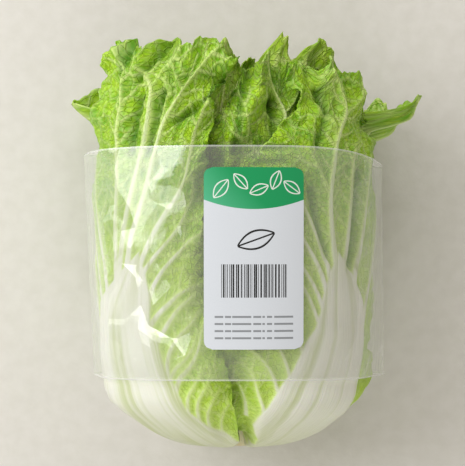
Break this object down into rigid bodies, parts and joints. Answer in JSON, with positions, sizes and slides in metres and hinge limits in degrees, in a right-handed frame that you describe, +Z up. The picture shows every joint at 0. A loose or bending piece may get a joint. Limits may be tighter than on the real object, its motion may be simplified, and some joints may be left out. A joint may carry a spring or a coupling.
{
  "type": "napa cabbage",
  "caption": "Whole napa cabbage lying on its back, its ruffled leaves wrapped round a pale heart, in a clear film band with a label.",
  "frame": {"origin": "on the flat underside of the film band, half way along the head", "axes": "+Y runs from the cut stump to the leaf tips, +Z is up and out of the head's labelled side, +X is to the right as the label is read"},
  "size_m": [0.2482, 0.2976, 0.1672],
  "materials": {
    "outer_leaf": "smooth waxy leaf, white midrib",
    "inner_leaf": "smooth leaf",
    "heart": "smooth pale yellow leaf",
    "stump": "cut stem",
    "clear_film": "clear glossy film",
    "label": "printed, slightly glossy"
  },
  "bodies": {
    "root": {"leaf_front_left": "outer_leaf", "leaf_front_right": "outer_leaf", "leaf_front_middle": "outer_leaf", "leaf_side_right": "outer_leaf", "leaf_side_left": "outer_leaf", "leaf_back_right": "outer_leaf", "leaf_back_left": "outer_leaf", "leaf_back_middle": "outer_leaf", "leaf_inner_left": "inner_leaf", "leaf_inner_right": "inner_leaf", "leaf_inner_back": "inner_leaf", "heart": "heart", "stump": "stump", "film_band": "clear_film", "label": "label"}
  },
  "joints": []
}
